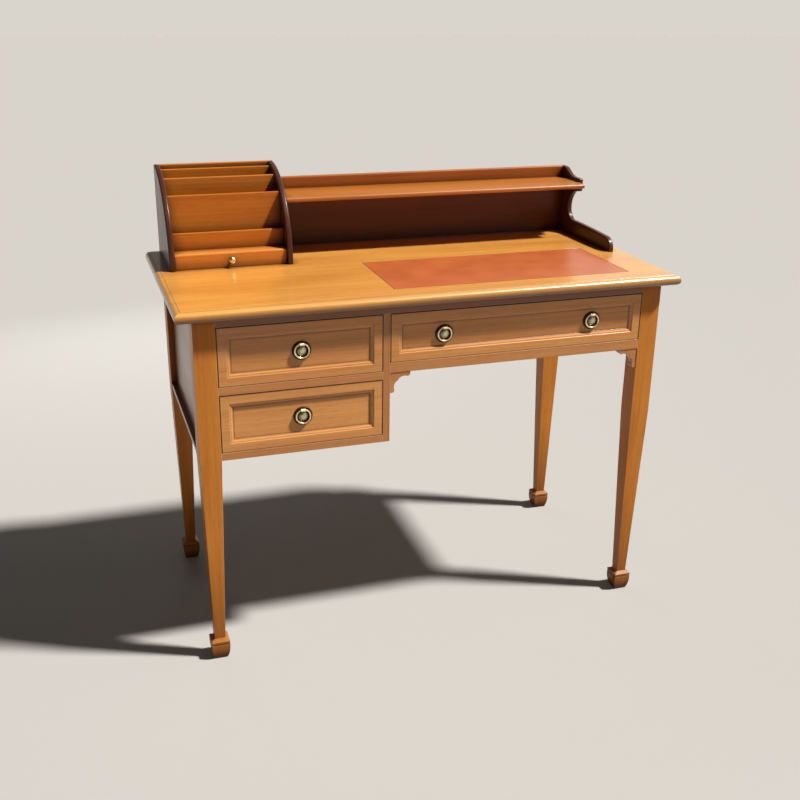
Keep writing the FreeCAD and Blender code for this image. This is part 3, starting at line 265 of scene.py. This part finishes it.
def planed_beech(name, grain):
    """Plain planed beech for drawer linings: pale, dry and flecked, with no polish on it."""
    material, tree = new_material(name)
    place = add(tree, "ShaderNodeTexCoord", {}).outputs["Object"]
    layers = {}
    # Growth rings are drawn 9 mm wide, and flecks, coarser than real ones so that they show, 9 by 1.4 mm
    for layer, length, width in (("growth", 350, 9), ("fleck", 9, 1.4)):
        spread = add(tree, "ShaderNodeMapping", {"Vector": place, "Scale": repeats(grain, length, width)})
        noise = add(tree, "ShaderNodeTexNoise", {"Vector": spread.outputs["Vector"], "Scale": 1, "Detail": 3})
        layers[layer] = noise.outputs["Fac"]
    tone = add(tree, "ShaderNodeMapRange", {"Value": layers["growth"], "From Min": 0.34, "From Max": 0.66})
    wood = add(tree, "ShaderNodeMix", {0: tone.outputs["Result"], 6: linear("#A98558"),
                                       7: linear("#CDAE7E")}, data_type="RGBA")
    flecks = add(tree, "ShaderNodeMapRange", {"Value": layers["fleck"], "From Min": 0.58, "From Max": 0.72,
                                              "To Max": 0.5})
    flecked = add(tree, "ShaderNodeMix", {0: flecks.outputs["Result"], 6: wood.outputs[2],
                                          7: linear("#8A6238")}, data_type="RGBA")
    relief = add(tree, "ShaderNodeBump", {"Strength": 0.3, "Distance": 0.15 * MM,
                                          "Height": layers["fleck"]}, invert=True)
    shader = add(tree, "ShaderNodeBsdfPrincipled", {
        "Base Color": flecked.outputs[2], "Roughness": 0.68, "IOR": 1.5, "Normal": relief.outputs["Normal"]})
    add(tree, "ShaderNodeOutputMaterial", {"Surface": shader.outputs["BSDF"]})
    return material


def cast_brass_plate(name, low, high):
    """Cast brass left to darken: a nearly black plate, a boss with a painted highlight at its crown and
    painted shade towards its rim, and a knuckle that fingers keep bright.
    """
    material, tree = new_material(name)
    place = add(tree, "ShaderNodeTexCoord", {}).outputs["Object"]
    from_centre = add(tree, "ShaderNodeMapping", {"Vector": place, "Location": -(low + high) / 2})
    across = add(tree, "ShaderNodeVectorMath", {0: from_centre.outputs["Vector"], 1: (1, 0, 1)},
                 operation="MULTIPLY")
    radius = add(tree, "ShaderNodeVectorMath", {0: across.outputs["Vector"]}, operation="LENGTH")
    on_boss = add(tree, "ShaderNodeMapRange", {"Value": radius.outputs["Value"],
                                               "From Min": BOSS_RADIUS + 0.2 * MM,
                                               "From Max": BOSS_RADIUS - 0.4 * MM})
    # Painted highlight at the boss's crown, fading into painted shade towards its rim
    crown_to_rim_shading = add(tree, "ShaderNodeMapRange", {"Value": radius.outputs["Value"], "From Min": 2 * MM,
                                                 "From Max": BOSS_RADIUS - 1 * MM})
    # Only the boss and the knuckle stand more than 0.4 mm out from the plate
    sides = add(tree, "ShaderNodeSeparateXYZ", {"Vector": place})
    proud = add(tree, "ShaderNodeMath", {0: sides.outputs["Y"], 1: low.y + KNUCKLE_STANDS - 0.4 * MM},
                operation="LESS_THAN")
    # Cloudy tarnish in patches of about 3 mm
    clouds = add(tree, "ShaderNodeTexNoise", {"Vector": place, "Scale": 1000 / 3, "Detail": 4})
    cloudy = add(tree, "ShaderNodeMapRange", {"Value": clouds.outputs["Fac"], "From Min": 0.35,
                                              "From Max": 0.65})
    plate = add(tree, "ShaderNodeMix", {0: cloudy.outputs["Result"], 6: linear("#241509"),
                                        7: linear("#53381E")}, data_type="RGBA")
    knuckled = add(tree, "ShaderNodeMix", {0: proud.outputs["Value"], 6: plate.outputs[2],
                                           7: linear("#F6E2BE")}, data_type="RGBA")
    boss = add(tree, "ShaderNodeMix", {0: crown_to_rim_shading.outputs["Result"], 6: linear("#D2C6A4"),
                                       7: linear("#5C5238")}, data_type="RGBA")
    metal = add(tree, "ShaderNodeMix", {0: on_boss.outputs["Result"], 6: knuckled.outputs[2],
                                        7: boss.outputs[2]}, data_type="RGBA")
    relief = add(tree, "ShaderNodeBump", {"Strength": 0.2, "Distance": 0.3 * MM,
                                          "Height": clouds.outputs["Fac"]})
    dulled = add(tree, "ShaderNodeMapRange", {"Value": clouds.outputs["Fac"], "To Min": 0.3, "To Max": 0.6})
    shader = add(tree, "ShaderNodeBsdfPrincipled", {
        "Base Color": metal.outputs[2], "Metallic": 1, "Roughness": dulled.outputs["Result"],
        "Normal": relief.outputs["Normal"]})
    add(tree, "ShaderNodeOutputMaterial", {"Surface": shader.outputs["BSDF"]})
    return material


def rubbed_brass(name, bright, dull):
    """Brass that fingers keep bright, with tarnish left in thin clouds."""
    material, tree = new_material(name)
    place = add(tree, "ShaderNodeTexCoord", {}).outputs["Object"]
    # Tarnish in clouds of about 5 mm, and scratches of about 0.5 mm
    clouds = add(tree, "ShaderNodeTexNoise", {"Vector": place, "Scale": 1000 / 5, "Detail": 3})
    scratches = add(tree, "ShaderNodeTexNoise", {"Vector": place, "Scale": 1000 / 0.5, "Detail": 1})
    cloudy = add(tree, "ShaderNodeMapRange", {"Value": clouds.outputs["Fac"], "From Min": 0.4,
                                              "From Max": 0.62})
    metal = add(tree, "ShaderNodeMix", {0: cloudy.outputs["Result"], 6: linear(bright), 7: linear(dull)},
                data_type="RGBA")
    dulled = add(tree, "ShaderNodeMapRange", {"Value": clouds.outputs["Fac"], "To Min": 0.18, "To Max": 0.42})
    relief = add(tree, "ShaderNodeBump", {"Strength": 0.1, "Distance": 0.05 * MM,
                                          "Height": scratches.outputs["Fac"]})
    shader = add(tree, "ShaderNodeBsdfPrincipled", {
        "Base Color": metal.outputs[2], "Metallic": 1, "Roughness": dulled.outputs["Result"],
        "Normal": relief.outputs["Normal"]})
    add(tree, "ShaderNodeOutputMaterial", {"Surface": shader.outputs["BSDF"]})
    return material


def waxed_calf(name, low, high):
    """Calf skiver, dyed and waxed: fine pebbles, a soft shine, and a border darkened as painted shade of its
    joint with the wood.
    """
    material, tree = new_material(name)
    place = add(tree, "ShaderNodeTexCoord", {}).outputs["Object"]
    # Pebbles of the grain are near 0.6 mm and are drawn at 1.5 mm so that they show
    pebbles = add(tree, "ShaderNodeTexVoronoi", {"Vector": place, "Scale": 1000 / 1.5})
    # The dye has taken unevenly in clouds of about 60 mm
    clouds = add(tree, "ShaderNodeTexNoise", {"Vector": place, "Scale": 1000 / 60, "Detail": 4})
    dye = add(tree, "ShaderNodeMapRange", {"Value": clouds.outputs["Fac"], "From Min": 0.36,
                                           "From Max": 0.64})
    skin = add(tree, "ShaderNodeMix", {0: dye.outputs["Result"], 6: linear("#BA5E2E"),
                                       7: linear("#C46835")}, data_type="RGBA")
    # Painted shade of the joint darkens the outer 2.6 mm
    joint_shade = add(tree, "ShaderNodeMapRange", {"Value": to_border(tree, place, low, high, "X", "Y"),
                                              "From Min": 2.6 * MM, "From Max": 0.6 * MM, "To Max": 0.75})
    bordered = add(tree, "ShaderNodeMix", {0: joint_shade.outputs["Result"], 6: skin.outputs[2],
                                           7: linear("#4E1D0D")}, data_type="RGBA")
    relief = add(tree, "ShaderNodeBump", {"Strength": 0.25, "Distance": 0.15 * MM,
                                          "Height": pebbles.outputs["Distance"]})
    shine = add(tree, "ShaderNodeMapRange", {"Value": clouds.outputs["Fac"], "To Min": 0.32, "To Max": 0.5})
    shader = add(tree, "ShaderNodeBsdfPrincipled", {
        "Base Color": bordered.outputs[2], "Roughness": shine.outputs["Result"], "IOR": 1.5,
        "Normal": relief.outputs["Normal"], "Coat Weight": 0.4, "Coat Roughness": 0.22})
    add(tree, "ShaderNodeOutputMaterial", {"Surface": shader.outputs["BSDF"]})
    return material


def cover(material, nodes):
    for node in nodes:
        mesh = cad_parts[node].data
        mesh.materials.clear()
        mesh.materials.append(material)


def pick_faces(piece, test):
    """Go to edit mode with only those faces of a piece selected that pass a test."""
    bpy.ops.object.mode_set(mode="EDIT")
    bpy.ops.mesh.select_mode(type="FACE")
    bpy.ops.mesh.select_all(action="DESELECT")
    bpy.ops.object.mode_set(mode="OBJECT")
    for face in piece.data.polygons:
        face.select = test(face)
    bpy.ops.object.mode_set(mode="EDIT")


def leather_writing_surface():
    """Leather laid in the top, a hair short of the wood all round and pressed down along its border."""
    low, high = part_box("leather_inset")
    short = Vector((LEATHER_GAP, LEATHER_GAP, 0))
    bpy.ops.object.select_all(action="DESELECT")
    bpy.ops.mesh.primitive_cube_add(size=1, location=(low + high) / 2, scale=high - low - 2 * short)
    leather = bpy.context.active_object
    leather.name = "leather_writing_surface"
    bpy.ops.object.transform_apply(location=True, rotation=True, scale=True)
    pick_faces(leather, lambda face: face.normal.z > 0.9)
    bpy.ops.mesh.inset(thickness=PRESSED_BORDER, depth=PRESSED_DEPTH)
    bpy.ops.object.mode_set(mode="OBJECT")
    eased = leather.modifiers.new("eased_edges", "BEVEL")
    eased.width = LEATHER_EDGE
    eased.segments = 2
    eased.limit_method = "ANGLE"
    bpy.ops.object.modifier_apply(modifier=eased.name)
    leather.data.materials.append(waxed_calf("waxed_calf_leather", low, high))
    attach(leather, "desk")
    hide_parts("leather_inset")


def shown(tree):
    """1 for rays that show a surface to the camera, straight or in polish, and 0 for those that light."""
    rays = add(tree, "ShaderNodeLightPath", {}).outputs
    seen = add(tree, "ShaderNodeMath", {0: rays["Is Camera Ray"], 1: rays["Is Glossy Ray"]},
               operation="MAXIMUM")
    every = add(tree, "ShaderNodeMath", {0: seen.outputs["Value"], 1: rays["Is Transmission Ray"]},
                operation="MAXIMUM")
    return every.outputs["Value"]


def pale_floor():
    bpy.ops.object.select_all(action="DESELECT")
    bpy.ops.mesh.primitive_plane_add(size=FLOOR_SIZE, location=(0, 0, 0))
    floor = bpy.context.active_object
    floor.name = "studio_floor"
    paper, tree = new_material("pale_paper")
    # The floor looks pale, but throws back only as much light as a dull one
    tint = add(tree, "ShaderNodeMix", {0: shown(tree), 6: linear("#7A7067"), 7: linear("#B4B2AE")},
               data_type="RGBA")
    shader = add(tree, "ShaderNodeBsdfPrincipled", {"Base Color": tint.outputs[2], "Roughness": 0.9,
                                                    "Specular IOR Level": 0})
    add(tree, "ShaderNodeOutputMaterial", {"Surface": shader.outputs["BSDF"]})
    floor.data.materials.append(paper)


def pale_surround():
    world = bpy.data.worlds.new("pale_surround")
    world.use_nodes = True
    bpy.context.scene.world = world
    tree = world.node_tree
    tree.nodes.clear()
    towards = add(tree, "ShaderNodeTexCoord", {}).outputs["Generated"]
    sides = add(tree, "ShaderNodeSeparateXYZ", {"Vector": towards})
    # Polish shows a surround that is dim to the left and pale to the right, with a pale rim low down
    turn = add(tree, "ShaderNodeMapRange", {"Value": sides.outputs["X"], "From Min": 0.05, "From Max": 0.5})
    wall = add(tree, "ShaderNodeMix", {0: turn.outputs["Result"], 6: linear("#5A5856"),
                                       7: linear("#EAE4DA")}, data_type="RGBA")
    rise = add(tree, "ShaderNodeMapRange", {"Value": sides.outputs["Z"], "From Min": 0.05, "From Max": 0.15})
    mirrored = add(tree, "ShaderNodeMix", {0: rise.outputs["Result"], 6: linear(PALE_RIM),
                                           7: wall.outputs[2]}, data_type="RGBA")
    # Straight behind the desk there is only the plain pale rim
    straight = add(tree, "ShaderNodeLightPath", {}).outputs["Is Camera Ray"]
    seen = add(tree, "ShaderNodeMix", {0: straight, 6: mirrored.outputs[2], 7: linear(PALE_RIM)},
               data_type="RGBA")
    level = add(tree, "ShaderNodeMix", {0: shown(tree), 6: linear("#4A4947"), 7: seen.outputs[2]},
                data_type="RGBA")
    surround = add(tree, "ShaderNodeBackground", {"Color": level.outputs[2]})
    add(tree, "ShaderNodeOutputWorld", {"Surface": surround.outputs["Background"]})


def lamp(kind, name, place, towards, energy):
    """Add a lamp of a kind, turned from its place to a point."""
    bpy.ops.object.light_add(type=kind, location=place)
    light = bpy.context.active_object
    light.name = name
    light.rotation_euler = (Vector(place) - Vector(towards)).to_track_quat("Z", "Y").to_euler()
    light.data.energy = energy
    return light


def studio():
    """Pale floor and surround, a high light from the right, soft fills before and behind, and the camera."""
    pale_floor()
    pale_surround()
    key = lamp("SUN", "key_light", KEY_PLACE, (0, 0, 0), KEY_ENERGY)
    key.data.angle = math.radians(KEY_WIDTH)
    key.data.color = KEY_TINT
    for name, place, energy in FILLS:
        fill = lamp("AREA", name, place, DESK_MIDDLE, energy)
        fill.data.shape = "RECTANGLE"
        fill.data.size, fill.data.size_y = FILL_SIZE
        fill.visible_camera = False
        fill.visible_glossy = False
    bpy.ops.object.camera_add(location=CAMERA_PLACE, rotation=[math.radians(turn) for turn in CAMERA_TURN])
    camera = bpy.context.active_object
    camera.name = "camera"
    camera.data.sensor_width = CAMERA_SENSOR
    camera.data.lens = CAMERA_LENS
    bpy.context.scene.camera = camera
    bpy.context.scene.view_settings.view_transform = "Standard"


underside, writing_height = (corner.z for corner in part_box("desk_top"))
marks = {
    # The moulded edge of the top darkens lower down, as painted shade, and the legs darken from 260 mm down
    # to the floor
    "top": dark_down(writing_height - 2 * MM, underside + 5 * MM, 0.62),
    "legs": dark_down(260 * MM, 0, 0.55),
    "gallery": shelf_shadow(*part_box("gallery_shelf")),
}
for drawer_front in ("upper_drawer_front", "lower_drawer_front", "wide_drawer_front"):
    marks[drawer_front] = dark_lines(*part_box(drawer_front))
for finish, (pieces, pale, deep, grain, film, gloss) in CHERRY.items():
    cherry = polished_cherry(f"polished_cherry_{finish}", pale, deep, grain, film, gloss, marks.get(finish))
    cover(cherry, pieces)
cover(planed_beech("planed_beech_along", "Y"), LININGS_ALONG)
cover(planed_beech("planed_beech_across", "X"), LININGS_ACROSS)
ring_brass = rubbed_brass("rubbed_brass_ring", "#FFEFD6", "#DCC49C")
for pull in PULLS:
    cover(cast_brass_plate(f"cast_brass_{pull}", *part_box(f"{pull}_plate")), (f"{pull}_plate",))
    cover(ring_brass, (f"{pull}_ring",))
cover(rubbed_brass("turned_brass_knob", "#FAE6C6", "#D8BC90"), ("rack_drawer_knob",))
leather_writing_surface()
studio()
